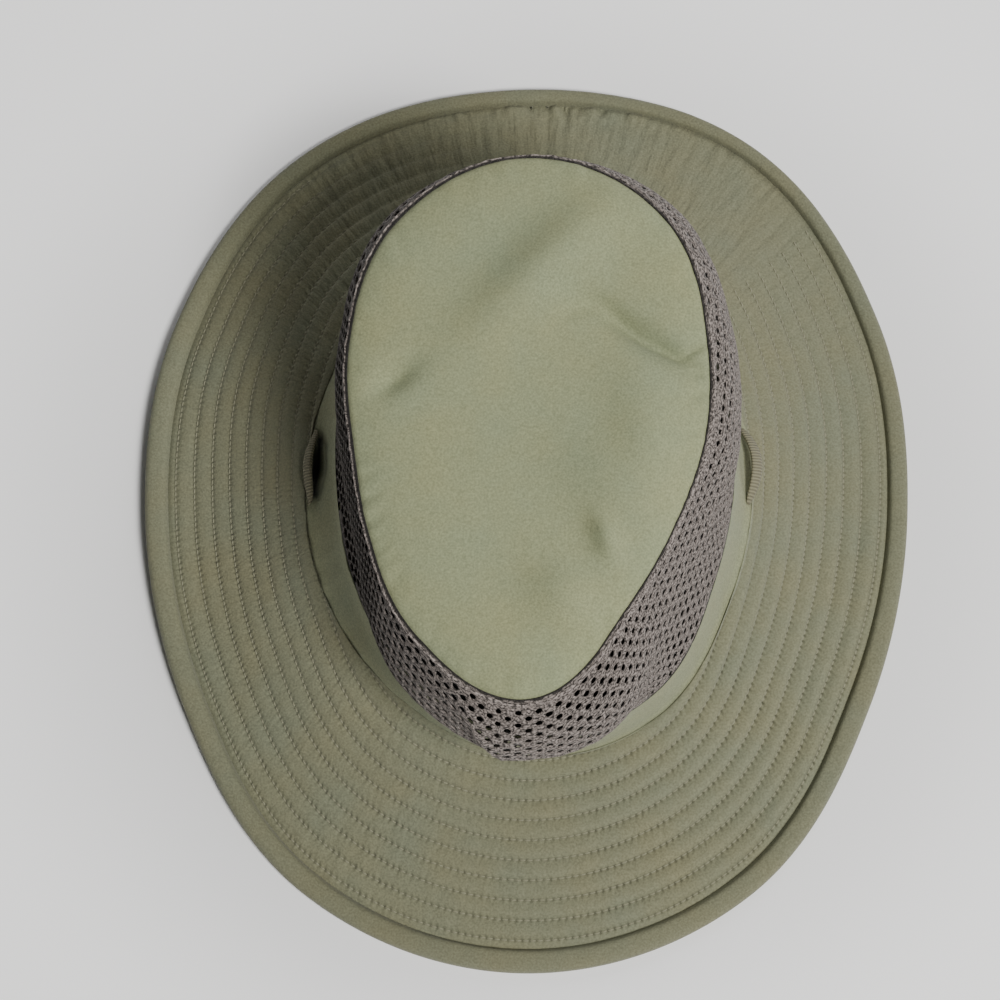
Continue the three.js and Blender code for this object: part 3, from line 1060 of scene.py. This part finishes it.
def make_stage():
    scene = bpy.context.scene
    bm = bmesh.new()
    bmesh.ops.create_grid(bm, x_segments=1, y_segments=1, size=FLOOR_HALF)
    floor = settle("floor", bm)
    floor.data.materials.append(floor_finish())
    floor.location.z = -0.0003

    world = bpy.data.worlds.new("studio")
    world.use_nodes = True
    sky = world.node_tree.nodes["Background"]
    sky.inputs["Color"].default_value = (1, 1, 1, 1)
    sky.inputs["Strength"].default_value = SKY
    scene.world = world

    turn, rise = math.radians(KEY_TURN), math.radians(KEY_HEIGHT)
    out = math.cos(rise)
    way = Vector((out * math.sin(turn), -out * math.cos(turn), math.sin(rise)))
    make_lamp("key", way * KEY_AWAY, size=1.0, power=152, color=(1, 0.99, 0.97))
    make_lamp("fill", Vector((1.4, 2.4, 1.6)), size=2.0, power=33, color=(1, 1, 1))
    lens = bpy.data.cameras.new("camera")
    lens.lens, lens.sensor_width, lens.clip_start = 121.5, 36, 0.05
    camera = bpy.data.objects.new("camera", lens)
    camera.location = EYE
    aim(camera, LOOKS_AT)
    scene.collection.objects.link(camera)
    scene.camera = camera


# ---- Sizes and colours a user may change ----


def length(name, words, default, least, most):
    return bpy.props.FloatProperty(
        name=name, description=words, default=default, min=least, max=most
    )


def color(name, words, default):
    return bpy.props.FloatVectorProperty(
        name=name, description=words, default=default, subtype="COLOR", size=3, min=0, max=1
    )


class HAT_PG_sizes(bpy.types.PropertyGroup):
    row_pitch: length("Row pitch", "Millimetres between rows of quilting", 7.8, 6, 10)
    quilt_rise: length("Quilting rise", "Millimetres that the quilting puffs up", 2.8, 0, 4)
    stitch_pitch: length("Stitch pitch", "Millimetres from stitch to stitch", 2.6, 2, 6)
    net_pitch: length("Net pitch", "Millimetres from hole to hole of the net", 4.35, 3, 8)
    net_hole: length("Net holes", "Width of a hole, as a share of the pitch", 0.46, 0.2, 0.8)


class HAT_PG_colors(bpy.types.PropertyGroup):
    brim: color("Brim", "Cloth of the brim and its binding", (0.197, 0.199, 0.127))
    strip: color("Strip", "Cloth of the strip round the crown", (0.244, 0.257, 0.156))
    top: color("Top panel", "Cloth of the top panel", (0.266, 0.287, 0.165))
    net: color("Net", "Knitted net", (0.142, 0.123, 0.112))
    tape: color("Tape", "Tape loops", (0.230, 0.215, 0.140))
    thread: color("Thread", "Quilting thread", (0.262, 0.257, 0.176))


# ---- Operators and panel ----


class HatOperator:
    bl_options = {"REGISTER", "UNDO"}

    def execute(self, context):
        scene = context.scene
        self.make(scene.hat_sizes, scene.hat_colors)
        return {"FINISHED"}


class HAT_OT_brim(HatOperator, bpy.types.Operator):
    """Make the quilted brim and the threads of its rows"""

    bl_idname = "hat.brim"
    bl_label = "Quilted brim"

    def make(self, sizes, colors):
        make_brim(sizes, colors)
        make_brim_stitches(sizes, colors)


class HAT_OT_binding(HatOperator, bpy.types.Operator):
    """Make the rolled binding round the brim's edge"""

    bl_idname = "hat.binding"
    bl_label = "Binding"

    def make(self, sizes, colors):
        make_binding(colors)


class HAT_OT_strip(HatOperator, bpy.types.Operator):
    """Make the plain strip that stands on the brim"""

    bl_idname = "hat.strip"
    bl_label = "Crown strip"

    def make(self, sizes, colors):
        make_strip(colors)


class HAT_OT_net(HatOperator, bpy.types.Operator):
    """Make the band of open net and its folded edge"""

    bl_idname = "hat.net"
    bl_label = "Net band"

    def make(self, sizes, colors):
        make_net_band(sizes, colors)
        make_net_hem(colors)


class HAT_OT_top(HatOperator, bpy.types.Operator):
    """Make the top panel with its soft folds"""

    bl_idname = "hat.top"
    bl_label = "Top panel"

    def make(self, sizes, colors):
        make_top_panel(colors)


class HAT_OT_loops(HatOperator, bpy.types.Operator):
    """Make the tape loop on each side"""

    bl_idname = "hat.loops"
    bl_label = "Tape loops"

    def make(self, sizes, colors):
        for side in LOOPS:
            make_tape_loop(side, colors)


class HAT_OT_stage(HatOperator, bpy.types.Operator):
    """Make the floor, the light and the camera"""

    bl_idname = "hat.stage"
    bl_label = "Stage"

    def make(self, sizes, colors):
        make_stage()


STEPS = [
    HAT_OT_stage,
    HAT_OT_brim,
    HAT_OT_binding,
    HAT_OT_strip,
    HAT_OT_net,
    HAT_OT_top,
    HAT_OT_loops,
]


class HAT_PT_panel(bpy.types.Panel):
    """The hat's sizes, colours and pieces"""

    bl_idname = "HAT_PT_panel"
    bl_label = "Sun hat"
    bl_space_type = "VIEW_3D"
    bl_region_type = "UI"
    bl_category = "Sun hat"

    def draw(self, context):
        for group in (context.scene.hat_sizes, context.scene.hat_colors):
            box = self.layout.box()
            for name in group.__annotations__:
                box.prop(group, name)
        for step in STEPS:
            self.layout.operator(step.bl_idname)


CLASSES = [HAT_PG_sizes, HAT_PG_colors, *STEPS, HAT_PT_panel]


def register():
    for kind in CLASSES:
        bpy.utils.register_class(kind)
    bpy.types.Scene.hat_sizes = bpy.props.PointerProperty(type=HAT_PG_sizes)
    bpy.types.Scene.hat_colors = bpy.props.PointerProperty(type=HAT_PG_colors)


def unregister():
    del bpy.types.Scene.hat_colors
    del bpy.types.Scene.hat_sizes
    for kind in reversed(CLASSES):
        bpy.utils.unregister_class(kind)


def main():
    register()
    for step in STEPS:
        group, name = step.bl_idname.split(".")
        getattr(getattr(bpy.ops, group), name)()


if __name__ == "__main__":
    main()
